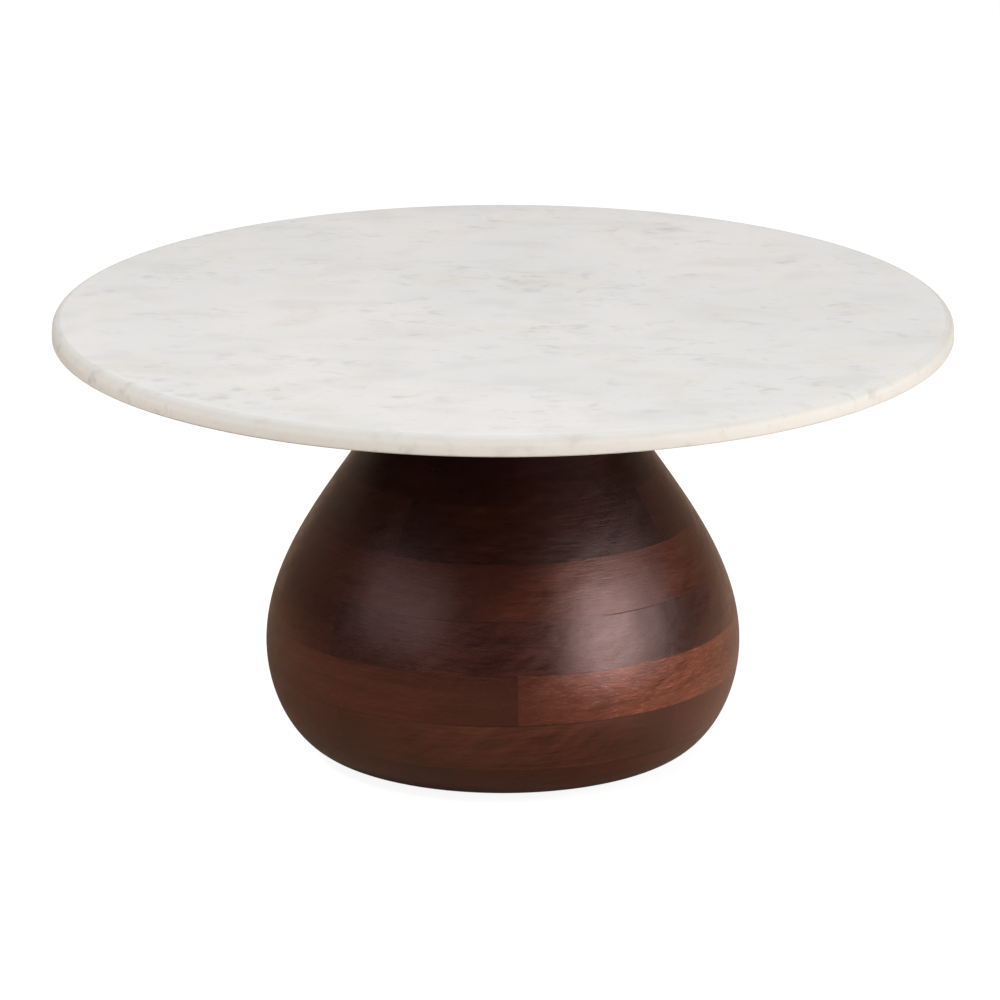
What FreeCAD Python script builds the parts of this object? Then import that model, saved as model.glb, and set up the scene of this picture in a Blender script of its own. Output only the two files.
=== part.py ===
import FreeCAD, Part
import math
import os

from FreeCAD import Vector

# A low round coffee table: a thin stone slab on a pear-shaped wooden base. The base is glued up from
# rings of four mitred boards, each ring turned against the one below it so that the joints lie like
# brickwork, and the stack is then turned on a lathe to one smooth outline.
# Millimetres, +Z up, origin on the floor under the table's axis, front of the table towards -Y.
# Angles are degrees about +Z, counted from the front towards +X.

# Stone top
TOP_DIAMETER = 900.0
TOP_THICKNESS = 20.0
TOP_UPPER_EDGE_RADIUS = 10.0
TOP_LOWER_EDGE_RADIUS = 2.0

# Turned outline of the base. Each handle is how far the outline follows its end's own direction
# before it bends away: outwards along the underside, up or down the belly, down the neck.
FOOT_DIAMETER = 342.0
FOOT_HANDLE = 33.0
BELLY_DIAMETER = 477.0
BELLY_HEIGHT = 113.0
BELLY_HANDLE_DOWN = 59.0
BELLY_HANDLE_UP = 122.0
NECK_DIAMETER = 190.0
NECK_HANDLE = 81.0

# Boards of the base. The bottom ring is planed down to bring the table to its height.
BOARDS_PER_RING = 4
RING_HEIGHT = 50.8
BOTTOM_RING_HEIGHT = 38.1
NECK_CAP_HEIGHT = 25.0
MITRE_WALL = 60.0
TURNING_ALLOWANCE = 6.0
# Angle of the glue joint where each ring's first board begins, bottom ring first
RING_JOINT_ANGLES = (-13.5, 46.3, 3.6, 51.0, -8.0, 56.0, -16.0, 45.0)
# Angle that each ring's last board covers. The ring's other boards share the rest.
LAST_BOARD_SPANS = (90.0, 90.0, 90.0, 98.0, 90.0, 90.0, 90.0, 90.0)

# Steel plate between neck and slab
PLATE_DIAMETER = 320.0
PLATE_THICKNESS = 6.0
PLATE_EDGE_RADIUS = 1.2

# Button-head bolts that pass up through the plate into the slab
BOLT_COUNT = 6
BOLT_CIRCLE_DIAMETER = 260.0
BOLT_DIAMETER = 8.0
BOLT_LENGTH = 18.0
BOLT_HEAD_DIAMETER = 14.0
BOLT_HEAD_HEIGHT = 4.4
BOLT_HEAD_FLAT_DIAMETER = 7.6
BOLT_SOCKET_WIDTH = 5.0
BOLT_SOCKET_DEPTH = 2.6
BOLT_HOLE_CLEARANCE = 0.5
WASHER_DIAMETER = 18.0
WASHER_THICKNESS = 1.6

# Threaded bushes bonded into the slab
STONE_INSERT_DIAMETER = 11.0
STONE_INSERT_LENGTH = 13.0
RESIN_GAP = 0.25
RESIN_BED = 1.0

# Countersunk wood screws that hold the plate to the neck
SCREWS_PER_BOARD = 2
SCREW_SPREAD = 45.0
SCREW_DIAMETER = 5.0
SCREW_LENGTH = 45.0
SCREW_POINT_LENGTH = 7.0
SCREW_POINT_DIAMETER = 0.6
SCREW_HEAD_DIAMETER = 10.0
SCREW_HEAD_HEIGHT = 3.0
SCREW_RECESS_WIDTH = 1.0
SCREW_RECESS_LENGTH = 5.0
SCREW_RECESS_DEPTH = 2.0

# Levelling feet: a nylon pad moulded round the head of a threaded stem, in a flanged bush
LEVELLER_INSET = 41.0
PAD_DIAMETER = 32.0
PAD_HEIGHT = 5.0
PAD_SHOULDER = 1.2
PAD_EDGE_RADIUS = 1.5
PAD_FLUTE_COUNT = 12
PAD_FLUTE_RADIUS = 2.2
PAD_FLUTE_DEPTH = 0.9
PAD_SKIN = 1.5
STEM_DIAMETER = 8.0
STEM_LENGTH = 25.0
STEM_POINT_CHAMFER = 1.0
STEM_HEAD_DIAMETER = 18.0
STEM_HEAD_HEIGHT = 2.0
BUSH_DIAMETER = 12.0
BUSH_LENGTH = 20.0
BUSH_FLANGE_DIAMETER = 20.0
BUSH_FLANGE_THICKNESS = 2.0
SEAT_GAP = 0.3

# Radial room between a fastener and the wood, stone or thread that holds it
FIT_CLEARANCE = 0.1
# Room past the end of a blind hole's occupant
HOLE_END_CLEARANCE = 3.0

# Heights that follow from the stack
RING_COUNT = len(RING_JOINT_ANGLES)
BASE_Z = PAD_HEIGHT + SEAT_GAP
RING_LEVELS = [BASE_Z] + [BASE_Z + BOTTOM_RING_HEIGHT + n * RING_HEIGHT for n in range(RING_COUNT)]
CAP_Z = RING_LEVELS[-1]
PLATE_Z = CAP_Z + NECK_CAP_HEIGHT
SLAB_Z = PLATE_Z + PLATE_THICKNESS
TABLE_HEIGHT = SLAB_Z + TOP_THICKNESS

FOOT_RADIUS = FOOT_DIAMETER / 2
BELLY_RADIUS = BELLY_DIAMETER / 2
NECK_RADIUS = NECK_DIAMETER / 2
BOLT_SEAT_Z = PLATE_Z - WASHER_THICKNESS
LEVELLER_RADIUS = FOOT_RADIUS - LEVELLER_INSET
AXIS = Vector(0, 0, 1)


def polar(radius, angle, z=0.0):
    """Point at an angle from the front."""
    turn = math.radians(angle)
    return Vector(radius * math.sin(turn), -radius * math.cos(turn), z)


def moved(shape, offset):
    """Copy of a shape, shifted."""
    copy = shape.copy()
    copy.translate(offset)
    return copy


def turned(shape, angle):
    """Copy of a shape, turned about the table's axis."""
    copy = shape.copy()
    copy.rotate(Vector(0, 0, 0), AXIS, angle)
    return copy


def revolved(edges):
    """Solid of revolution about Z from the edges of a closed outline."""
    face = Part.Face(Part.Wire(edges))
    return face.revolve(Vector(0, 0, 0), AXIS, 360)


def turned_profile(points):
    """Solid of revolution from (radius, height) corners."""
    corners = [Vector(radius, 0, height) for radius, height in points]
    return revolved(Part.makePolygon(corners + corners[:1]).Edges)


def hexagon(width, height):
    """Prism with the given width across flats, standing on z = 0."""
    corner_radius = width / math.sqrt(3)
    corners = [polar(corner_radius, 60.0 * n) for n in range(7)]
    return Part.Face(Part.makePolygon(corners)).extrude(Vector(0, 0, height))


# Turned wooden base

def outline_curve(poles):
    """Bezier stretch of the outline, drawn behind the axis so that no board faces its seam."""
    curve = Part.BezierCurve()
    curve.setPoles([Vector(0, radius, height) for radius, height in poles])
    return curve


FOOT_TO_BELLY = outline_curve([
    (FOOT_RADIUS, BASE_Z),
    (FOOT_RADIUS + FOOT_HANDLE, BASE_Z),
    (BELLY_RADIUS, BELLY_HEIGHT - BELLY_HANDLE_DOWN),
    (BELLY_RADIUS, BELLY_HEIGHT),
])
BELLY_TO_NECK = outline_curve([
    (BELLY_RADIUS, BELLY_HEIGHT),
    (BELLY_RADIUS, BELLY_HEIGHT + BELLY_HANDLE_UP),
    (NECK_RADIUS, PLATE_Z - NECK_HANDLE),
    (NECK_RADIUS, PLATE_Z),
])


def outline_radius(height):
    """Radius of the turned outline at a height, found by halving along the curve."""
    curve = FOOT_TO_BELLY if height < BELLY_HEIGHT else BELLY_TO_NECK
    low = 0.0
    high = 1.0
    for _ in range(40):
        middle = (low + high) / 2
        if curve.value(middle).z < height:
            low = middle
        else:
            high = middle
    return curve.value(low).y


def turned_base():
    """The whole outline as one solid, from which every board is cut."""
    foot_centre = Vector(0, 0, BASE_Z)
    foot_edge = Vector(0, FOOT_RADIUS, BASE_Z)
    neck_edge = Vector(0, NECK_RADIUS, PLATE_Z)
    neck_centre = Vector(0, 0, PLATE_Z)
    return revolved([
        Part.makeLine(foot_centre, foot_edge),
        FOOT_TO_BELLY.toShape(),
        BELLY_TO_NECK.toShape(),
        Part.makeLine(neck_edge, neck_centre),
        Part.makeLine(neck_centre, foot_centre),
    ])


def ring_radii(ring):
    """Least and greatest outline radius within a ring."""
    low, high = RING_LEVELS[ring], RING_LEVELS[ring + 1]
    ends = (outline_radius(low), outline_radius(high))
    holds_belly = low < BELLY_HEIGHT < high
    return min(ends), BELLY_RADIUS if holds_belly else max(ends)


def hollow_corner_radius(ring):
    """Distance of the hollow's corners from the axis, which leaves each mitre its wall."""
    least_radius, _ = ring_radii(ring)
    return least_radius - MITRE_WALL


def board_spans(ring):
    """Angles that a ring's boards cover, in order."""
    last = LAST_BOARD_SPANS[ring]
    others = BOARDS_PER_RING - 1
    return [(360.0 - last) / others] * others + [last]


def board_centres(ring):
    """Angles of the middles of a ring's boards."""
    centres = []
    start = RING_JOINT_ANGLES[ring]
    for span in board_spans(ring):
        centres.append(start + span / 2)
        start += span
    return centres


def mitred_board(ring, span):
    """Straight sawn board facing the front, with mitred ends that point at the axis."""
    half_span = math.radians(span / 2)
    slope = math.tan(half_span)
    inner = hollow_corner_radius(ring) * math.cos(half_span)
    outer = ring_radii(ring)[1] + TURNING_ALLOWANCE
    low, high = RING_LEVELS[ring], RING_LEVELS[ring + 1]
    corners = [
        Vector(-inner * slope, -inner, low),
        Vector(inner * slope, -inner, low),
        Vector(outer * slope, -outer, low),
        Vector(-outer * slope, -outer, low),
    ]
    outline = Part.makePolygon(corners + corners[:1])
    return Part.Face(outline).extrude(Vector(0, 0, high - low))


def screw_angles():
    """Angles of the plate screws, the same on every board of the top ring."""
    steps = [n - (SCREWS_PER_BOARD - 1) / 2 for n in range(SCREWS_PER_BOARD)]
    return [step * SCREW_SPREAD for step in steps]


def screw_circle_radius():
    """Midway between the inside corner of the top ring's hollow and the neck."""
    return (hollow_corner_radius(RING_COUNT - 1) + NECK_RADIUS) / 2


def screw_holes(centre_angle):
    """Pilot holes under one board's share of the plate screws."""
    depth = SCREW_LENGTH - PLATE_THICKNESS + HOLE_END_CLEARANCE
    radius = SCREW_DIAMETER / 2 + FIT_CLEARANCE
    hole = Part.makeCylinder(radius, depth)
    places = [centre_angle + angle for angle in screw_angles()]
    bottom = PLATE_Z - depth
    return [moved(hole, polar(screw_circle_radius(), place, bottom)) for place in places]


def leveller_hole():
    """Stepped hole for the bush of the leveller under a board that faces the front."""
    stem_reach = PAD_HEIGHT + STEM_LENGTH + HOLE_END_CLEARANCE - BASE_Z
    flange = Part.makeCylinder(BUSH_FLANGE_DIAMETER / 2 + FIT_CLEARANCE, BUSH_FLANGE_THICKNESS)
    barrel = Part.makeCylinder(BUSH_DIAMETER / 2 + FIT_CLEARANCE, max(BUSH_LENGTH, stem_reach))
    return moved(flange.fuse(barrel), polar(LEVELLER_RADIUS, 0, BASE_Z))


def ring_board(ring, span, base):
    """One finished board facing the front: sawn, turned and drilled."""
    board = mitred_board(ring, span).common(base)
    return board.cut([leveller_hole()] + screw_holes(0.0)).Solids[0]


def neck_cap(base):
    """Solid end board that closes the hollow and beds the plate."""
    blank = Part.makeCylinder(outline_radius(CAP_Z) + TURNING_ALLOWANCE, NECK_CAP_HEIGHT)
    holes = []
    for angle in board_centres(RING_COUNT - 1):
        holes += screw_holes(angle)
    return moved(blank, Vector(0, 0, CAP_Z)).common(base).cut(holes).Solids[0]


# Stone top and its fixing

def bolt_places(z):
    """Points on the bolt circle at a height."""
    return [polar(BOLT_CIRCLE_DIAMETER / 2, n * 360.0 / BOLT_COUNT, z) for n in range(BOLT_COUNT)]


def group(shape, places):
    """Separate copies of one solid, kept as one node."""
    return Part.makeCompound([moved(shape, place) for place in places])


def marble_top():
    """Slab with a soft upper edge, a small lower edge and blind holes for the bushes."""
    radius = TOP_DIAMETER / 2
    top = SLAB_Z + TOP_THICKNESS
    lower = TOP_LOWER_EDGE_RADIUS
    upper = TOP_UPPER_EDGE_RADIUS
    inset = 1 - math.sqrt(0.5)
    under_centre = Vector(0, 0, SLAB_Z)
    under_edge = Vector(radius - lower, 0, SLAB_Z)
    rim_low = Vector(radius, 0, SLAB_Z + lower)
    rim_high = Vector(radius, 0, top - upper)
    top_edge = Vector(radius - upper, 0, top)
    top_centre = Vector(0, 0, top)
    lower_middle = Vector(radius - lower * inset, 0, SLAB_Z + lower * inset)
    upper_middle = Vector(radius - upper * inset, 0, top - upper * inset)
    slab = revolved([
        Part.makeLine(under_centre, under_edge),
        Part.Arc(under_edge, lower_middle, rim_low).toShape(),
        Part.makeLine(rim_low, rim_high),
        Part.Arc(rim_high, upper_middle, top_edge).toShape(),
        Part.makeLine(top_edge, top_centre),
        Part.makeLine(top_centre, under_centre),
    ])
    hole = Part.makeCylinder(STONE_INSERT_DIAMETER / 2 + RESIN_GAP, STONE_INSERT_LENGTH + RESIN_BED)
    return slab.cut([moved(hole, place) for place in bolt_places(SLAB_Z)])


def stone_insert():
    """Threaded bush, open at both ends."""
    outside = Part.makeCylinder(STONE_INSERT_DIAMETER / 2, STONE_INSERT_LENGTH)
    return outside.cut(Part.makeCylinder(BOLT_DIAMETER / 2 + FIT_CLEARANCE, STONE_INSERT_LENGTH))


def mounting_plate():
    """Round plate with plain holes for the bolts and countersunk holes for the wood screws."""
    disc = Part.makeCylinder(PLATE_DIAMETER / 2, PLATE_THICKNESS)
    rims = [edge for edge in disc.Edges if edge.Closed]
    disc = disc.makeFillet(PLATE_EDGE_RADIUS, rims)
    bolt_hole = Part.makeCylinder(BOLT_DIAMETER / 2 + BOLT_HOLE_CLEARANCE, PLATE_THICKNESS)
    screw_hole = screw_body(FIT_CLEARANCE)
    cuts = [moved(bolt_hole, place) for place in bolt_places(0.0)]
    cuts += [moved(screw_hole, place) for place in screw_places(PLATE_THICKNESS)]
    return moved(disc.cut(cuts), Vector(0, 0, PLATE_Z))


def top_bolt():
    """Bolt with its head's bearing face on z = 0, shank upwards and a hexagon socket below."""
    edge = BOLT_HEAD_DIAMETER / 2
    flat = BOLT_HEAD_FLAT_DIAMETER / 2
    shank = BOLT_DIAMETER / 2
    bearing_edge = Vector(edge, 0, 0)
    crown_edge = Vector(flat, 0, -BOLT_HEAD_HEIGHT)
    bulge = Vector(flat + (edge - flat) * 0.75, 0, -BOLT_HEAD_HEIGHT * 0.65)
    corners = [
        Vector(0, 0, -BOLT_HEAD_HEIGHT),
        Vector(0, 0, BOLT_LENGTH),
        Vector(shank, 0, BOLT_LENGTH),
        Vector(shank, 0, 0),
        bearing_edge,
    ]
    edges = Part.makePolygon(corners).Edges
    edges.append(Part.Arc(bearing_edge, bulge, crown_edge).toShape())
    edges.append(Part.makeLine(crown_edge, corners[0]))
    socket = moved(hexagon(BOLT_SOCKET_WIDTH, BOLT_SOCKET_DEPTH), corners[0])
    return revolved(edges).cut(socket)


def bolt_washer():
    """Flat washer standing on z = 0."""
    outside = Part.makeCylinder(WASHER_DIAMETER / 2, WASHER_THICKNESS)
    return outside.cut(Part.makeCylinder(BOLT_DIAMETER / 2 + BOLT_HOLE_CLEARANCE, WASHER_THICKNESS))


def screw_places(z):
    """Points of all the plate screws at a height."""
    places = []
    for centre in board_centres(RING_COUNT - 1):
        places += [polar(screw_circle_radius(), centre + angle, z) for angle in screw_angles()]
    return places


def screw_body(room):
    """Outside of a wood screw with its head flush at z = 0, larger all round by the room."""
    shank = SCREW_DIAMETER / 2 + room
    head = SCREW_HEAD_DIAMETER / 2 + room
    return turned_profile([
        (0, 0),
        (head, 0),
        (shank, -SCREW_HEAD_HEIGHT),
        (shank, SCREW_POINT_LENGTH - SCREW_LENGTH),
        (SCREW_POINT_DIAMETER / 2, -SCREW_LENGTH),
        (0, -SCREW_LENGTH),
    ])


def plate_screw():
    """Wood screw with a cross recess."""
    arm = Part.makeBox(SCREW_RECESS_LENGTH, SCREW_RECESS_WIDTH, SCREW_RECESS_DEPTH)
    arm.translate(Vector(-SCREW_RECESS_LENGTH / 2, -SCREW_RECESS_WIDTH / 2, -SCREW_RECESS_DEPTH))
    return screw_body(0.0).cut(arm.fuse(turned(arm, 90)))


# Levelling feet

def leveller_places(z):
    """Points under the middles of the bottom ring's boards, at a height."""
    return [polar(LEVELLER_RADIUS, angle, z) for angle in board_centres(0)]


def leveller_bush():
    """Flanged threaded bush, flange down, standing on z = 0."""
    flange = Part.makeCylinder(BUSH_FLANGE_DIAMETER / 2, BUSH_FLANGE_THICKNESS)
    barrel = Part.makeCylinder(BUSH_DIAMETER / 2, BUSH_LENGTH)
    bore = Part.makeCylinder(STEM_DIAMETER / 2 + FIT_CLEARANCE, BUSH_LENGTH)
    return flange.fuse(barrel).cut(bore).removeSplitter()


def stem_body(room):
    """Outside of a leveller's stem and its flat head, larger all round by the room."""
    head = STEM_HEAD_DIAMETER / 2 + room
    shank = STEM_DIAMETER / 2 + room
    head_top = PAD_SKIN + STEM_HEAD_HEIGHT + room
    tip = PAD_HEIGHT + STEM_LENGTH
    return turned_profile([
        (0, PAD_SKIN - room),
        (head, PAD_SKIN - room),
        (head, head_top),
        (shank, head_top),
        (shank, tip - STEM_POINT_CHAMFER),
        (shank - STEM_POINT_CHAMFER, tip),
        (0, tip),
    ])


def leveller_pad():
    """Round pad with a softened sole, a sloped shoulder and a fluted rim to turn it by."""
    radius = PAD_DIAMETER / 2
    pad = turned_profile([
        (0, 0),
        (radius, 0),
        (radius, PAD_HEIGHT - PAD_SHOULDER),
        (radius - PAD_SHOULDER, PAD_HEIGHT),
        (0, PAD_HEIGHT),
    ])
    sole = [edge for edge in pad.Edges if edge.Closed and edge.BoundBox.ZMax < PAD_EDGE_RADIUS / 2]
    pad = pad.makeFillet(PAD_EDGE_RADIUS, sole)
    flute = Part.makeCylinder(PAD_FLUTE_RADIUS, PAD_HEIGHT)
    flute_circle = radius + PAD_FLUTE_RADIUS - PAD_FLUTE_DEPTH
    flute_angles = [n * 360.0 / PAD_FLUTE_COUNT for n in range(PAD_FLUTE_COUNT)]
    flutes = [moved(flute, polar(flute_circle, angle)) for angle in flute_angles]
    return pad.cut(flutes + [stem_body(FIT_CLEARANCE)]).Solids[0]


def build():
    """Every piece of the table, by name."""
    base = turned_base()
    nodes = {
        "marble_top": marble_top(),
        "stone_inserts": group(stone_insert(), bolt_places(SLAB_Z)),
        "mounting_plate": mounting_plate(),
        "top_bolts": group(top_bolt(), bolt_places(BOLT_SEAT_Z)),
        "top_bolt_washers": group(bolt_washer(), bolt_places(BOLT_SEAT_Z)),
        "plate_screws": group(plate_screw(), screw_places(SLAB_Z)),
        "neck_cap": neck_cap(base),
    }
    for ring in range(RING_COUNT):
        boards = zip(board_spans(ring), board_centres(ring))
        for number, (span, angle) in enumerate(boards, 1):
            nodes[f"ring_{ring + 1}_board_{number}"] = turned(ring_board(ring, span, base), angle)
    nodes["leveller_bushes"] = group(leveller_bush(), leveller_places(BASE_Z))
    stem = stem_body(0.0)
    pad = leveller_pad()
    for number, place in enumerate(leveller_places(0.0), 1):
        nodes[f"leveller_stem_{number}"] = moved(stem, place)
        nodes[f"leveller_pad_{number}"] = moved(pad, place)
    return nodes


os.makedirs("parts", exist_ok=True)
for name, shape in build().items():
    shape.exportStep(os.path.join("parts", name + ".step"))
print(f"table {TOP_DIAMETER:.0f} across, {TABLE_HEIGHT:.1f} high, base {BELLY_DIAMETER:.0f} across")
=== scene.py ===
import math

import bmesh
import bpy
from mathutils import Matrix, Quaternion, Vector


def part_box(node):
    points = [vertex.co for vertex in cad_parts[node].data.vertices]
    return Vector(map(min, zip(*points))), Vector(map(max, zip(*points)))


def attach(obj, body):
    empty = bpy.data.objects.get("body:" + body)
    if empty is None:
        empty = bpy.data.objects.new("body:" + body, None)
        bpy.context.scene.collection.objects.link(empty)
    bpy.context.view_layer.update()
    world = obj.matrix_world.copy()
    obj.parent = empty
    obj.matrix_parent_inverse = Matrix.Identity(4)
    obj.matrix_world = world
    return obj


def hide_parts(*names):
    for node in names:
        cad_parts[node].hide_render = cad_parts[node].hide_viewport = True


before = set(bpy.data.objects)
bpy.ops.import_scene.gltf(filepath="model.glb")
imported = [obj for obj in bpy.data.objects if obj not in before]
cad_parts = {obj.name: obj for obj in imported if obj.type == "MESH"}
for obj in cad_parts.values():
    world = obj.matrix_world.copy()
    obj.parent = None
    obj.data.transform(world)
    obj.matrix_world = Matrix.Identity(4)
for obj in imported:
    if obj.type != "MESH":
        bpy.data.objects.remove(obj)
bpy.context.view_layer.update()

# Levelling pads
# Four round glides of black glass-filled nylon, moulded over the flat head of a steel stem.
# They carry the table on the floor and are turned by their fluted rims to level it.
LEVELLERS = (1, 2, 3, 4)


def linear(hex_colour):
    """Linear colour, with alpha, from an sRGB hex value."""
    parts = [int(hex_colour[i:i + 2], 16) / 255 for i in (1, 3, 5)]
    return tuple(p / 12.92 if p <= 0.04045 else ((p + 0.055) / 1.055) ** 2.4 for p in parts) + (1.0,)


def add(material, kind, inputs=None, **settings):
    """Adds one shader node. An input takes a value, another node's output to link to, or a node,
    for the first of its outputs that is in use."""
    tree = material.node_tree
    made = tree.nodes.new("ShaderNode" + kind)
    for name, value in settings.items():
        setattr(made, name, value)
    for key, value in (inputs or {}).items():
        if isinstance(value, bpy.types.Node):
            value = next(output for output in value.outputs if output.enabled)
        if isinstance(value, bpy.types.NodeSocket):
            tree.links.new(value, made.inputs[key])
        else:
            made.inputs[key].default_value = value
    return made


def new_material(name):
    """Empty node material."""
    material = bpy.data.materials.new(name)
    material.use_nodes = True
    material.node_tree.nodes.clear()
    return material


def finish_node(name, material):
    """Gives a carried-over piece its finish."""
    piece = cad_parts[name]
    piece.data.materials.clear()
    piece.data.materials.append(material)


def moulded_nylon():
    """Black nylon with the fine spark-eroded grain of its mould: dull, with soft small highlights.
    The grain is drawn a few times as coarse as real, to show."""
    grit_mm = 0.6
    material = new_material("moulded_black_nylon")
    place = add(material, "TexCoord").outputs["Object"]
    grit = add(material, "TexNoise", {"Vector": place, "Scale": 1000 / grit_mm, "Detail": 2.0})
    colour = add(material, "Mix", {0: grit, 6: linear("#141414"), 7: linear("#232322")}, data_type="RGBA")
    gloss = add(material, "MapRange", {"Value": grit, "To Min": 0.45, "To Max": 0.65})
    relief = add(material, "Bump", {"Height": grit, "Strength": 0.25, "Distance": 0.0002})
    shader = add(material, "BsdfPrincipled", {"Base Color": colour, "Roughness": gloss, "Normal": relief,
                                              "IOR": 1.53})
    add(material, "OutputMaterial", {"Surface": shader})
    return material


NYLON = moulded_nylon()
for number in LEVELLERS:
    finish_node(f"leveller_pad_{number}", NYLON)

# Levelling stems and their bushes
# Zinc-plated steel: an M8 stem with a rolled thread turns in a flanged bush pressed into the base.
# The thread shows in the gap under the base when a foot is wound out.
STEM_RADIUS = 0.0040
STEM_HEAD_HEIGHT = 0.0020
STEM_TIP_CHAMFER = 0.0010
STEM_SEGMENTS = 48
THREAD_PITCH = 0.00125
THREAD_DEPTH = 0.0006
THREAD_ROWS_PER_TURN = 8


def zinc_plate():
    """Bright zinc on steel: a cool grey metal, a little blotchy, with fine tumbling marks, which are
    drawn a few times as coarse as real, to show."""
    blotch_mm = 4.0
    mark_mm = 0.5
    material = new_material("zinc_plated_steel")
    place = add(material, "TexCoord").outputs["Object"]
    blotch = add(material, "TexNoise", {"Vector": place, "Scale": 1000 / blotch_mm, "Detail": 3.0})
    marks = add(material, "TexNoise", {"Vector": place, "Scale": 1000 / mark_mm, "Detail": 2.0})
    colour = add(material, "Mix", {0: blotch, 6: linear("#9C9D98"), 7: linear("#C6C5BC")}, data_type="RGBA")
    gloss = add(material, "MapRange", {"Value": blotch, "To Min": 0.24, "To Max": 0.44})
    relief = add(material, "Bump", {"Height": marks, "Strength": 0.12, "Distance": 0.0001})
    shader = add(material, "BsdfPrincipled", {"Base Color": colour, "Roughness": gloss, "Normal": relief,
                                              "Metallic": 1.0})
    add(material, "OutputMaterial", {"Surface": shader})
    return material


def lathe_mesh(name, rows, segments):
    """Closed mesh from rows of points, each a function of the turn, with flat ends."""
    shape = bmesh.new()
    turns = [math.tau * n / segments for n in range(segments)]
    loops = [[shape.verts.new(row(turn)) for turn in turns] for row in rows]
    for low, high in zip(loops, loops[1:]):
        for n in range(segments):
            after = (n + 1) % segments
            shape.faces.new((low[n], low[after], high[after], high[n]))
    shape.faces.new(loops[0][::-1])
    shape.faces.new(loops[-1])
    mesh = bpy.data.meshes.new(name)
    shape.to_mesh(mesh)
    shape.free()
    return mesh


def thread_row(centre, z, radius, depth):
    """One row round a stem, cut by a helical groove of the given depth."""
    def point(turn):
        phase = (z / THREAD_PITCH - turn / math.tau) % 1.0
        reach = radius - depth * abs(2 * phase - 1)
        return (centre.x + reach * math.cos(turn), centre.y + reach * math.sin(turn), z)
    return point


def threaded_stem(number):
    """Flat head, then a shank whose thread deepens over its first turn, and a chamfered tip."""
    low, high = (Vector(corner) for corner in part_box(f"leveller_stem_{number}"))
    centre = (low + high) / 2
    head_radius = (high.x - low.x) / 2
    head_top = low.z + STEM_HEAD_HEIGHT
    rows = [thread_row(centre, low.z, head_radius, 0.0),
            thread_row(centre, head_top, head_radius, 0.0),
            thread_row(centre, head_top, STEM_RADIUS, 0.0)]
    step = THREAD_PITCH / THREAD_ROWS_PER_TURN
    count = int((high.z - head_top - THREAD_PITCH) / step)
    for n in range(1, count):
        z = head_top + n * step
        run_out = min(1.0, (z - head_top) / THREAD_PITCH)
        rows.append(thread_row(centre, z, STEM_RADIUS, THREAD_DEPTH * run_out))
    rows.append(thread_row(centre, high.z, STEM_RADIUS - STEM_TIP_CHAMFER, 0.0))
    name = f"threaded_stem_{number}"
    stem = bpy.data.objects.new(name, lathe_mesh(name, rows, STEM_SEGMENTS))
    bpy.context.scene.collection.objects.link(stem)
    stem.data.materials.append(ZINC)
    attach(stem, f"leveller_{number}")
    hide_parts(f"leveller_stem_{number}")


ZINC = zinc_plate()
for number in LEVELLERS:
    threaded_stem(number)
finish_node("leveller_bushes", ZINC)

# Boards of the base
# Rings of four straight mango boards with mitred ends, each ring laid across the joints of the one
# below, glued, turned on a lathe as one piece, stained dark and sprayed with satin lacquer.
BOARDS_PER_RING = 4
# From the bottom ring up, in degrees: where the first joint lies from the front, and the last board's span
RING_JOINTS = (-13.5, 46.3, 3.6, 51.0, -8.0, 56.0, -16.0, 45.0)
LAST_BOARD_SPANS = (90.0, 90.0, 90.0, 98.0, 90.0, 90.0, 90.0, 90.0)
# Each stain's deepest and palest tone, and how strongly figure and vessels show in it
STAINS = {
    "bister": ("#1B0804", "#33140B", 0.09, 0.04),
    "umber": ("#280F08", "#451F13", 0.16, 0.08),
    "plum": ("#2B0E0A", "#4A1F18", 0.24, 0.05),
    "chestnut": ("#33120A", "#502215", 0.16, 0.08),
    "walnut": ("#301409", "#5C2E1E", 0.30, 0.06),
    "russet": ("#3A160D", "#602D1C", 0.18, 0.12),
    "amber": ("#461B11", "#864530", 0.28, 0.75),
}
BOARD_STAINS = (
    ("chestnut", "umber", "plum", "umber"),
    ("russet", "umber", "russet", "walnut"),
    ("amber", "umber", "russet", "chestnut"),
    ("plum", "russet", "chestnut", "plum"),
    ("russet", "plum", "umber", "chestnut"),
    ("umber", "russet", "umber", "bister"),
    ("bister", "plum", "umber", "bister"),
    ("bister", "umber", "russet", "bister"),
)
# Where the glue line above a board has opened: from and to, along the board from its middle
OPEN_SEAMS = {"ring_4_board_4": (0.085, 0.160)}
# Where a board's upper corner is painted darker, as painted shade under the slab: its edge along the board,
# and how far it fades along and down
PAINTED_SHADE_CORNERS = {"ring_5_board_1": (-0.092, 0.05, 0.025)}
# From one board's place in the sawn planks to the next one's
PLANK_STEP = Vector((0.37, 0.083, 0.061))


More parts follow.
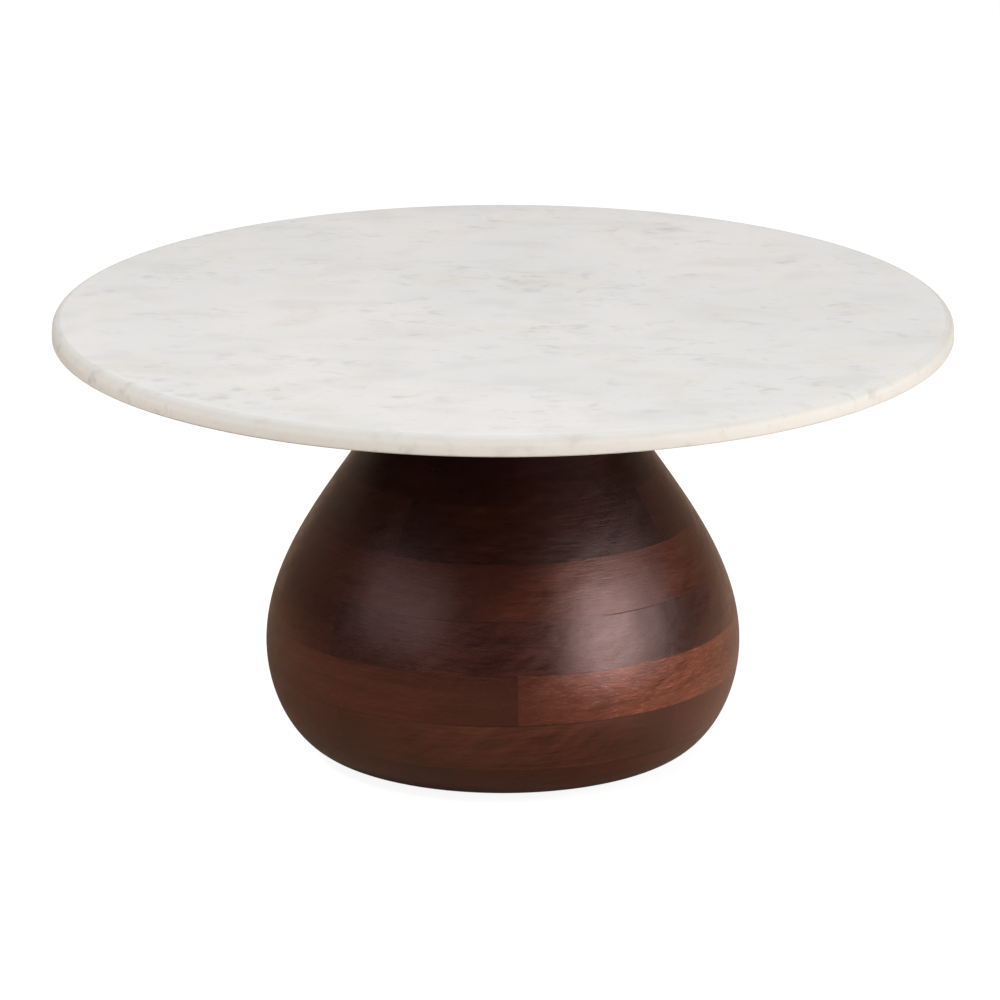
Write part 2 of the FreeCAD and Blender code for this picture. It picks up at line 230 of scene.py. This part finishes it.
def stained_mango(name, turn, half_span, plank, stain):
    """Mango under dark stain and satin lacquer: long fibres, short vessel lines that catch the light, a
    slanting figure, stain that took unevenly and is darkest where the lathe cut into end grain, starved
    glue lines, a few pin knots, and slow waves from sanding that break up the highlights. The pattern
    fills the plank, so the lathe cuts its own figure. Fibres, vessels and glue lines are drawn about
    twice as coarse as real, to show."""
    dark, pale, figured, veined = STAINS[stain]
    fibre_mm = (40.0 - 60.0 * figured, 16.0, 1.8)
    streak_mm = (200.0, 80.0, 6.5)
    vessel_mm = (10.0, 4.0, 0.8)
    figure_mm = (40.0, 24.0, 10.0)
    figure_slant = math.radians(30.0)
    patch_mm = (140.0, 60.0, 45.0)
    wave_mm = (24.0, 24.0, 24.0)
    wander_mm = (150.0, 120.0, 60.0)
    wander_reach = 0.008 + 0.06 * figured
    knot_mm = (130.0, 600.0, 130.0)
    knot_size = 0.022
    seam_line = 0.0009
    open_line = 0.0011
    mitre_line = 0.0003
    tone_spread = 0.45
    side_grain, full_end_grain = 0.3, 0.75
    bare_dulling = 0.5
    relief_depth = 0.0003
    back_facing = -0.5
    ledge_facing = -0.98
    foot_height = 0.02
    glue_colour = linear("#0E0503")
    board_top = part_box(name)[1][2]
    material = new_material("stained_" + name)
    place = add(material, "TexCoord").outputs["Object"]
    facing = add(material, "NewGeometry").outputs["Normal"]
    turned = add(material, "Mapping", {"Vector": place, "Rotation": (0, 0, -turn)})
    spot = add(material, "SeparateXYZ", {0: turned})
    in_plank = add(material, "VectorMath", {0: turned, 1: PLANK_STEP * plank}, operation="ADD")

    def grain(size_mm, vector, detail):
        """Marks of that length, depth and height, drawn out along the board and into it, so that every
        cut shows lines."""
        shrink = tuple(1000 / value for value in size_mm)
        scaled = add(material, "VectorMath", {0: vector, 1: shrink}, operation="MULTIPLY")
        return add(material, "TexNoise", {"Vector": scaled, "Scale": 1.0, "Detail": detail})

    # Figure of the plank
    wander = grain(wander_mm, in_plank, 1.0).outputs["Color"]
    flow = add(material, "VectorMath", {0: wander, 1: (0.0, 0.0, wander_reach), 2: in_plank},
               operation="MULTIPLY_ADD")
    slanted = add(material, "Mapping", {"Vector": flow, "Rotation": (0, figure_slant, 0)})
    fibre = grain(fibre_mm, flow, 3.0)
    streak = grain(streak_mm, flow, 2.0)
    vessel = grain(vessel_mm, flow, 0.0)
    figure = grain(figure_mm, slanted, 2.0)
    patch = grain(patch_mm, in_plank, 2.0)
    waves = grain(wave_mm, in_plank, 1.0)

    # Stain, from its deepest to its palest tone
    patterns = ((streak, 0.8), (fibre, 1.1), (figure, 3.0 * figured), (patch, 1.1))
    middle = sum(weight for pattern, weight in patterns) / 2
    tone = 0.0
    for pattern, weight in patterns:
        tone = add(material, "Math", {0: pattern, 1: weight, 2: tone}, operation="MULTIPLY_ADD")
    depth = add(material, "MapRange", {"Value": tone, "From Min": middle - tone_spread,
                                       "From Max": middle + tone_spread})
    lengthwise = (math.cos(turn), math.sin(turn), 0.0)
    end_grain = add(material, "VectorMath", {0: facing, 1: lengthwise}, operation="DOT_PRODUCT")
    end_grain = add(material, "Math", {0: end_grain}, operation="ABSOLUTE")
    uptake = add(material, "MapRange", {"Value": end_grain, "From Min": side_grain,
                                        "From Max": full_end_grain, "To Min": 1.0, "To Max": 0.0})
    depth = add(material, "Math", {0: depth, 1: uptake}, operation="MULTIPLY")
    # Painted shade: the board darkens towards its upper corner, standing in for the shade under the slab.
    if name in PAINTED_SHADE_CORNERS:
        edge, fade, drop = PAINTED_SHADE_CORNERS[name]
        away = add(material, "VectorMath", {0: turned, 1: (1 / fade, 0.0, -1 / drop)},
                   operation="DOT_PRODUCT")
        nearest = edge / fade - board_top / drop
        unshaded = add(material, "MapRange", {"Value": away, "From Min": nearest, "From Max": nearest + 1.0},
                    interpolation_type="SMOOTHSTEP")
        depth = add(material, "Math", {0: depth, 1: unshaded}, operation="MULTIPLY")
    stained = add(material, "Mix", {0: depth, 6: linear(dark), 7: linear(pale)}, data_type="RGBA")
    pores = add(material, "MapRange", {"Value": vessel, "From Min": 0.59, "From Max": 0.7})
    vessels = add(material, "Math", {0: pores, 1: veined}, operation="MULTIPLY")
    vessels = add(material, "Math", {0: vessels, 1: depth}, operation="MULTIPLY")
    lined = add(material, "Mix", {0: vessels, 6: stained, 7: linear("#AE6347")}, data_type="RGBA")

    # Glue lines, dark where they were starved, and pin knots
    along = add(material, "Math", {0: spot.outputs["X"]}, operation="ABSOLUTE")
    mitre = add(material, "Math", {0: spot.outputs["Y"], 1: -math.tan(half_span)}, operation="MULTIPLY")
    at_mitre = add(material, "Math", {0: along, 1: mitre, 2: mitre_line}, operation="COMPARE")
    at_top = add(material, "Math", {0: spot.outputs["Z"], 1: board_top, 2: seam_line}, operation="COMPARE")
    at_joint = add(material, "Math", {0: at_mitre, 1: at_top}, operation="MAXIMUM")
    starved = add(material, "MapRange", {"Value": patch, "From Min": 0.42, "From Max": 0.62})
    glued = add(material, "Math", {0: at_joint, 1: starved}, operation="MULTIPLY")
    knot_shrink = tuple(1000 / value for value in knot_mm)
    knot = add(material, "VectorMath", {0: in_plank, 1: knot_shrink}, operation="MULTIPLY")
    knot = add(material, "TexVoronoi", {"Vector": knot, "Scale": 1.0})
    knotted = add(material, "MapRange", {"Value": knot, "From Min": knot_size, "From Max": knot_size * 2,
                                         "To Min": 0.8, "To Max": 0.0})
    marks = add(material, "Math", {0: glued, 1: knotted}, operation="MAXIMUM")
    colour = add(material, "Mix", {0: marks, 6: lined, 7: glue_colour}, data_type="RGBA")

    # Bare wood in the hollow: the boards' backs and the ledges between rings
    outward = (math.sin(turn), -math.cos(turn), 0.0)
    back = add(material, "VectorMath", {0: facing, 1: outward}, operation="DOT_PRODUCT")
    back = add(material, "Math", {0: back, 1: back_facing}, operation="LESS_THAN")
    upright = add(material, "SeparateXYZ", {0: facing}).outputs["Z"]
    ledge = add(material, "Math", {0: upright, 1: ledge_facing}, operation="LESS_THAN")
    above_foot = add(material, "Math", {0: spot.outputs["Z"], 1: foot_height}, operation="GREATER_THAN")
    ledge = add(material, "Math", {0: ledge, 1: above_foot}, operation="MULTIPLY")
    bare = add(material, "Math", {0: back, 1: ledge}, operation="MAXIMUM")
    raw = add(material, "Mix", {0: depth, 6: linear("#8A6A49"), 7: linear("#B8946A")}, data_type="RGBA")
    colour = add(material, "Mix", {0: bare, 6: colour, 7: raw}, data_type="RGBA")

    # Lacquer, which follows the sanded surface and is missing from the bare wood
    gloss = add(material, "Math", {0: fibre, 1: figure}, operation="ADD")
    gloss = add(material, "MapRange", {"Value": gloss, "From Max": 2.0, "To Min": 0.15, "To Max": 0.51})
    gloss = add(material, "Math", {0: bare, 1: bare_dulling, 2: gloss}, operation="MULTIPLY_ADD")
    height = fibre
    for pattern, weight in ((pores, -0.4), (figure, 2.2), (waves, 5.0)):
        height = add(material, "Math", {0: pattern, 1: weight, 2: height}, operation="MULTIPLY_ADD")
    if name in OPEN_SEAMS:
        start, end = OPEN_SEAMS[name]
        aside = add(material, "Math", {0: spot.outputs["X"], 1: (start + end) / 2}, operation="SUBTRACT")
        aside = add(material, "Math", {0: aside}, operation="ABSOLUTE")
        taper = add(material, "MapRange", {"Value": aside, "From Min": (end - start) / 5,
                                           "From Max": (end - start) / 2, "To Min": 0.8, "To Max": 0.0})
        opened = add(material, "Math", {0: spot.outputs["Z"], 1: board_top, 2: open_line},
                     operation="COMPARE")
        opened = add(material, "Math", {0: opened, 1: taper}, operation="MULTIPLY")
        colour = add(material, "Mix", {0: opened, 6: colour, 7: glue_colour}, data_type="RGBA")
        gloss = add(material, "Math", {0: opened, 1: 0.3, 2: gloss}, operation="MULTIPLY_ADD")
        height = add(material, "Math", {0: opened, 1: -0.9, 2: height}, operation="MULTIPLY_ADD")
    relief = add(material, "Bump", {"Height": height, "Strength": 0.1 + 0.85 * figured,
                                    "Distance": relief_depth})
    shader = add(material, "BsdfPrincipled", {"Base Color": colour, "Roughness": gloss, "Normal": relief,
                                              "IOR": 1.55, "Specular IOR Level": 0.9,
                                              "Specular Tint": linear("#FFD8D4")})
    add(material, "OutputMaterial", {"Surface": shader})
    return material


for ring, joint in enumerate(RING_JOINTS):
    last_span = math.radians(LAST_BOARD_SPANS[ring])
    other_span = (math.tau - last_span) / (BOARDS_PER_RING - 1)
    spans = [other_span] * (BOARDS_PER_RING - 1) + [last_span]
    board_start = math.radians(joint)
    for board, span in enumerate(spans):
        node_name = f"ring_{ring + 1}_board_{board + 1}"
        board_finish = stained_mango(node_name, board_start + span / 2, span / 2,
                                     ring * BOARDS_PER_RING + board, BOARD_STAINS[ring][board])
        finish_node(node_name, board_finish)
        board_start += span

# Neck cap
# One solid mango board, glued over the hollow and turned with the rings. It closes the base and beds
# the steel plate.
NECK_PLANK = len(RING_JOINTS) * BOARDS_PER_RING
finish_node("neck_cap", stained_mango("neck_cap", 0.0, math.pi / 4, NECK_PLANK, "umber"))

# Mounting plate
# A laser-cut steel disc, powder coated black. It is screwed down to the neck and bolted up to the
# slab, and spreads the stone's weight.


def powder_coat():
    """Black powder coat: satin, with the shallow orange peel of a baked powder."""
    peel_mm = 1.8
    dust_mm = 30.0
    material = new_material("black_powder_coat")
    place = add(material, "TexCoord").outputs["Object"]
    peel = add(material, "TexNoise", {"Vector": place, "Scale": 1000 / peel_mm, "Detail": 1.0})
    dust = add(material, "TexNoise", {"Vector": place, "Scale": 1000 / dust_mm, "Detail": 3.0})
    colour = add(material, "Mix", {0: dust, 6: linear("#161616"), 7: linear("#262625")}, data_type="RGBA")
    gloss = add(material, "MapRange", {"Value": peel, "To Min": 0.38, "To Max": 0.55})
    relief = add(material, "Bump", {"Height": peel, "Strength": 0.3, "Distance": 0.0003})
    shader = add(material, "BsdfPrincipled", {"Base Color": colour, "Roughness": gloss, "Normal": relief})
    add(material, "OutputMaterial", {"Surface": shader})
    return material


finish_node("mounting_plate", powder_coat())

# Screws, bolts and washers
# Zinc-plated steel: countersunk wood screws hold the plate to the neck, and button-head bolts with
# washers come up through the plate into the slab.
for node_name in ("plate_screws", "top_bolts", "top_bolt_washers"):
    finish_node(node_name, ZINC)

# Stone inserts
# Turned brass bushes, tapped M8. They are set in resin in blind holes in the slab's underside and take
# the bolts.


def turned_brass():
    """Brass straight off the lathe: warm yellow with fine turning rings, which are drawn about twice as
    coarse as real, to show. The wave texture draws its bands 20 radians to a unit."""
    ring_mm = 0.4
    bands_per_unit = 20 / math.tau
    material = new_material("turned_brass")
    place = add(material, "TexCoord").outputs["Object"]
    rings = add(material, "TexWave", {"Vector": place, "Scale": 1000 / ring_mm / bands_per_unit,
                                      "Distortion": 0.4}, bands_direction="Z").outputs["Fac"]
    colour = add(material, "Mix", {0: rings, 6: linear("#A8843F"), 7: linear("#D0AE63")}, data_type="RGBA")
    gloss = add(material, "MapRange", {"Value": rings, "To Min": 0.22, "To Max": 0.36})
    shader = add(material, "BsdfPrincipled", {"Base Color": colour, "Roughness": gloss, "Metallic": 1.0})
    add(material, "OutputMaterial", {"Surface": shader})
    return material


finish_node("stone_inserts", turned_brass())

# Marble top
# A sawn slab of white marble, 20 mm thick, with a rounded upper edge and an eased lower edge, and
# honed; its back is painted dark, as painted shade under the slab. It rests on the plate and is held by
# bolts from below.
SLAB_UPPER_EDGE = 0.010
SLAB_LOWER_EDGE = 0.002
SLAB_SEGMENTS = 288
EDGE_STEPS = 10
UNDERSIDE_ROWS = (0.02, 0.25, 0.5, 0.75)
TOP_ROWS = (0.95, 0.75, 0.5, 0.25, 0.02)


def honed_marble():
    """White marble honed to a soft sheen: a milky ground, loose drifts of soft grey smudges that all
    lie one way, faint beige stains and a rare dark speck. By slope it carries painted light and shade:
    the rounding painted a shade darker, the edge painted paler and warmer, and the back painted dark."""
    cloud_mm = (260.0, 260.0)
    drift_mm = (150.0, 90.0)
    mottle_mm = (80.0, 50.0)
    smudge_mm = (26.0, 17.0)
    fleck_mm = (11.0, 7.0)
    beige_mm = (90.0, 90.0)
    speck_mm = 230.0
    crystal_mm = (1.5, 1.5)
    lie = math.radians(4.0)
    material = new_material("honed_white_marble")
    place = add(material, "TexCoord").outputs["Object"]
    place = add(material, "Mapping", {"Vector": place, "Rotation": (0, 0, lie)})
    facing = add(material, "NewGeometry").outputs["Normal"]
    facing = add(material, "SeparateXYZ", {0: facing}).outputs["Z"]

    def stone(size_mm, detail):
        """Noise drawn out the way the stone lies, from its length and width."""
        length, width = (1000 / value for value in size_mm)
        scaled = add(material, "VectorMath", {0: place, 1: (length, width, width)}, operation="MULTIPLY")
        return add(material, "TexNoise", {"Vector": scaled, "Scale": 1.0, "Detail": detail,
                                          "Distortion": 0.4})

    drift = add(material, "MapRange", {"Value": stone(drift_mm, 1.0), "From Min": 0.3, "From Max": 0.6},
                interpolation_type="SMOOTHSTEP")
    specks = add(material, "TexVoronoi", {"Vector": place, "Scale": 1000 / speck_mm})

    # Layers over the milky ground: a pattern, the levels where it starts and is full, its most, its
    # colour, and whether it keeps to the drifts. Three go by the slope, as painted shade and light:
    # rounding, edge and back.
    layers = (
        (stone(cloud_mm, 3.0), 0.35, 0.65, 1.0, "#DCDBDB", False),
        (stone(mottle_mm, 2.0), 0.45, 0.75, 0.4, "#C8C7C6", False),
        (stone(beige_mm, 1.0), 0.55, 0.75, 0.25, "#D6CDC1", False),
        # painted shade: the rounding, which faces the lamps above, is painted darker
        (facing, 1.0, 0.975, 0.5, "#C6C5BE", False),
        # painted light: the upright edge, which gets less light, is painted paler and warmer
        (facing, 0.75, 0.0, 1.0, "#E8E6E1", False),
        (stone(smudge_mm, 2.0), 0.54, 0.8, 0.34, "#9F9D9E", True),
        (stone(fleck_mm, 1.0), 0.6, 0.82, 0.17, "#8E8C8D", True),
        (specks, 0.014, 0.006, 0.8, "#5E5C56", False),
        # painted shade: the back, which faces down into shade, is painted dark
        (facing, -0.98, -0.99, 1.0, "#4C4640", False),
    )
    colour = linear("#D6D7D7")
    for pattern, start, full, most, tone, drifting in layers:
        share = add(material, "MapRange", {"Value": pattern, "From Min": start, "From Max": full,
                                           "To Max": most}, interpolation_type="SMOOTHSTEP")
        if drifting:
            share = add(material, "Math", {0: share, 1: drift}, operation="MULTIPLY")
        colour = add(material, "Mix", {0: share, 6: colour, 7: linear(tone)}, data_type="RGBA")
    gloss = add(material, "MapRange", {"Value": stone(crystal_mm, 1.0), "To Min": 0.54, "To Max": 0.66})
    shader = add(material, "BsdfPrincipled", {"Base Color": colour, "Roughness": gloss, "IOR": 1.5,
                                              "Specular IOR Level": 0.15, "Subsurface Weight": 0.6,
                                              "Subsurface Radius": (1.0, 0.85, 0.7),
                                              "Subsurface Scale": 0.005})
    add(material, "OutputMaterial", {"Surface": shader})
    return material


def slab_outline(low, high):
    """Radius and height of each row of the slab, from the middle of its underside to its top."""
    radius = (high.y - low.y) / 2
    quarter = [math.pi / 2 * step / EDGE_STEPS for step in range(EDGE_STEPS + 1)]
    rows = [(radius * share, low.z) for share in UNDERSIDE_ROWS]
    rows += [(radius - SLAB_LOWER_EDGE * (1 - math.sin(turn)),
              low.z + SLAB_LOWER_EDGE * (1 - math.cos(turn))) for turn in quarter]
    rows += [(radius - SLAB_UPPER_EDGE * (1 - math.cos(turn)),
              high.z - SLAB_UPPER_EDGE * (1 - math.sin(turn))) for turn in quarter]
    rows += [(radius * share, high.z) for share in TOP_ROWS]
    return rows


def flat_row(radius, z):
    """One plain round row."""
    return lambda turn: (radius * math.cos(turn), radius * math.sin(turn), z)


slab_low, slab_high = (Vector(corner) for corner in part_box("marble_top"))
slab_rows = [flat_row(radius, z) for radius, z in slab_outline(slab_low, slab_high)]
slab = bpy.data.objects.new("marble_slab", lathe_mesh("marble_slab", slab_rows, SLAB_SEGMENTS))
bpy.context.scene.collection.objects.link(slab)
slab.data.shade_smooth()
slab.data.materials.append(honed_marble())
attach(slab, "table")
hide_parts("marble_top")

# Studio floor and light
# A pale floor that the camera sees as white under the table's soft shadow. Soft boxes stand at the
# right, with a brighter middle, at the left, overhead and behind, and a plain fill stands in front.
FLOOR_HALF = 30.0
FLOOR_LEVEL = -0.0002
LAMP_AIM = Vector((0, 0, 0.25))


def background_share(material):
    """How much of the white background a ray sees: all of it straight on or through glass, and little
    in a mirrored ray, because the dark lacquer would be veiled by more."""
    mirror_share = 0.03
    path = add(material, "LightPath")
    mirrored = add(material, "Math", {0: path.outputs["Is Glossy Ray"], 1: mirror_share},
                   operation="MULTIPLY")
    through = add(material, "Math", {0: path.outputs["Is Camera Ray"],
                                     1: path.outputs["Is Transmission Ray"]}, operation="MAXIMUM")
    return add(material, "Math", {0: through, 1: mirrored}, operation="MAXIMUM")


def studio_floor():
    """Matt pale floor: mostly white of its own to the camera, the rest lit, so that shadows show. In
    mirrored rays only it glows warm, a painted pool of light behind the table, most at the right, and
    at the base's right, which the lacquer shows as a painted reflection. It is clear from below, so that the
    feet can be looked at."""
    glow_share = 0.9
    lit_share = 0.3
    painted_glow_strength = 0.33
    sweep_way = (1.0, 0.75, 0.0)
    sweep_width = 0.6
    sweep_from, sweep_to = 0.1, 0.35
    pool_from, pool_to = 0.1, 0.3
    pool_edge, pool_end = 0.5, 0.65
    material = new_material("studio_floor")
    geometry = add(material, "NewGeometry")
    place = geometry.outputs["Position"]
    spot = add(material, "SeparateXYZ", {0: place})
    across = add(material, "VectorMath", {0: place, 1: sweep_way}, operation="DOT_PRODUCT")
    across = add(material, "MapRange", {"Value": across, "From Max": sweep_width})
    behind = add(material, "MapRange", {"Value": spot.outputs["Y"], "From Min": sweep_from,
                                        "From Max": sweep_to, "To Max": painted_glow_strength},
                 interpolation_type="SMOOTHSTEP")
    sweep = add(material, "Math", {0: across, 1: behind}, operation="MULTIPLY")
    beside = add(material, "MapRange", {"Value": spot.outputs["X"], "From Min": pool_from,
                                        "From Max": pool_to, "To Max": painted_glow_strength},
                 interpolation_type="SMOOTHSTEP")
    away = add(material, "VectorMath", {0: place}, operation="LENGTH")
    near = add(material, "MapRange", {"Value": away, "From Min": pool_edge, "From Max": pool_end,
                                      "To Min": 1.0, "To Max": 0.0})
    pool = add(material, "Math", {0: beside, 1: near}, operation="MULTIPLY")
    painted_glow_level = add(material, "Math", {0: sweep, 1: pool}, operation="MAXIMUM")
    mirrored = add(material, "LightPath").outputs["Is Glossy Ray"]
    painted_glow_level = add(material, "Math", {0: painted_glow_level, 1: mirrored}, operation="MULTIPLY")
    # Painted light: a warm glow, no lamp, seen only in mirrored rays, which the lacquer shows as a painted
    # reflection.
    painted_glow = add(material, "Emission", {"Color": linear("#FFD9BC"), "Strength": painted_glow_level})
    bounce = add(material, "BsdfDiffuse", {"Color": linear("#9A836C")})
    glow = add(material, "Emission", {"Color": linear("#FFFFFF"), "Strength": glow_share})
    lit = add(material, "BsdfDiffuse", {"Color": (lit_share, lit_share, lit_share, 1.0)})
    white = add(material, "AddShader", {0: glow, 1: lit})
    pale = add(material, "MixShader", {0: background_share(material), 1: bounce, 2: white})
    above = add(material, "AddShader", {0: pale, 1: painted_glow})
    clear = add(material, "BsdfTransparent")
    shown = add(material, "MixShader", {0: geometry.outputs["Backfacing"], 1: above, 2: clear})
    add(material, "OutputMaterial", {"Surface": shown})
    return material


floor_mesh = bpy.data.meshes.new("studio_floor")
floor_ways = ((-1, -1), (1, -1), (1, 1), (-1, 1))
floor_corners = [(x * FLOOR_HALF, y * FLOOR_HALF, FLOOR_LEVEL) for x, y in floor_ways]
floor_mesh.from_pydata(floor_corners, [], [(0, 1, 2, 3)])
floor = bpy.data.objects.new("studio_floor", floor_mesh)
bpy.context.scene.collection.objects.link(floor)
floor_mesh.materials.append(studio_floor())

# Beyond the floor: white to the camera, and a dim warm room to the light, paler at the back
world = bpy.data.worlds.new("studio")
world.use_nodes = True
world.node_tree.nodes.clear()
sky_way = add(world, "SeparateXYZ", {0: add(world, "TexCoord").outputs["Generated"]})
sky_back = add(world, "MapRange", {"Value": sky_way.outputs["Y"], "From Min": -0.1, "From Max": 0.9},
               interpolation_type="SMOOTHSTEP")
sky_dim = add(world, "Mix", {0: sky_back, 6: linear("#372B21"), 7: linear("#776A58")}, data_type="RGBA")
sky = add(world, "Mix", {0: background_share(world), 6: sky_dim, 7: linear("#FFFFFF")}, data_type="RGBA")
sky_glow = add(world, "Background", {"Color": sky, "Strength": 1.0})
add(world, "OutputWorld", {"Surface": sky_glow})
bpy.context.scene.world = world


def softbox(name, azimuth, elevation, distance, size, watts, lean=0.0, mirrored=True):
    """Soft rectangular lamp aimed at the table, at angles from the front and above the floor. It may
    lean over to one side, and a fill is not mirrored."""
    lamp = bpy.data.lights.new(name, "AREA")
    lamp.shape = "RECTANGLE"
    lamp.size, lamp.size_y = size
    lamp.energy = watts
    lamp_object = bpy.data.objects.new(name, lamp)
    bpy.context.scene.collection.objects.link(lamp_object)
    turn, rise = math.radians(azimuth), math.radians(elevation)
    way = Vector((math.sin(turn) * math.cos(rise), -math.cos(turn) * math.cos(rise), math.sin(rise)))
    lamp_object.location = LAMP_AIM + way * distance
    leaning = Quaternion((0, 0, 1), math.radians(-lean))
    lamp_object.rotation_euler = (way.to_track_quat("Z", "Y") @ leaning).to_euler()
    lamp_object.visible_glossy = mirrored


softbox("right_softbox_centre", azimuth=53.0, elevation=13.0, distance=2.2, size=(1.05, 1.35), watts=14.0,
        lean=22.0)
softbox("right_softbox", azimuth=60.0, elevation=14.0, distance=2.3, size=(2.35, 2.0), watts=22.0,
        lean=22.0)
softbox("left_softbox", azimuth=-56.0, elevation=28.0, distance=2.2, size=(1.8, 1.3), watts=5.2)
softbox("front_fill", azimuth=-18.0, elevation=15.0, distance=3.0, size=(2.0, 2.0), watts=15.0,
        mirrored=False)
softbox("overhead_front", azimuth=-4.0, elevation=51.0, distance=3.6, size=(2.6, 0.8), watts=32.0)
softbox("overhead_left", azimuth=-74.0, elevation=47.5, distance=3.6, size=(2.8, 0.5), watts=57.0)
softbox("rear_softbox", azimuth=140.0, elevation=60.0, distance=3.2, size=(3.0, 2.0), watts=46.0)

# Camera
# The photograph's viewing angle: a long lens from well back, a little above the table. Its place and
# its lens were fitted to the slab's ellipse and the base's outline.
CAMERA_DISTANCE = 9.0
CAMERA_ELEVATION = math.radians(16.54)
CAMERA_LENS_MM = 322.2
CAMERA_SENSOR_MM = 36.0
CAMERA_REACH = 100.0
FITTED_HEIGHT = 0.2073
AIM = Vector((-0.0029, 0.0136, 0.2531))

camera_data = bpy.data.cameras.new("camera")
camera_data.lens = CAMERA_LENS_MM
camera_data.sensor_width = CAMERA_SENSOR_MM
camera_data.clip_end = CAMERA_REACH
camera = bpy.data.objects.new("camera", camera_data)
bpy.context.scene.collection.objects.link(camera)
camera.location = (0.0, -CAMERA_DISTANCE * math.cos(CAMERA_ELEVATION),
                   FITTED_HEIGHT + CAMERA_DISTANCE * math.sin(CAMERA_ELEVATION))
camera.rotation_euler = (AIM - camera.location).to_track_quat("-Z", "Y").to_euler()
bpy.context.scene.camera = camera
bpy.context.scene.view_settings.view_transform = "Standard"
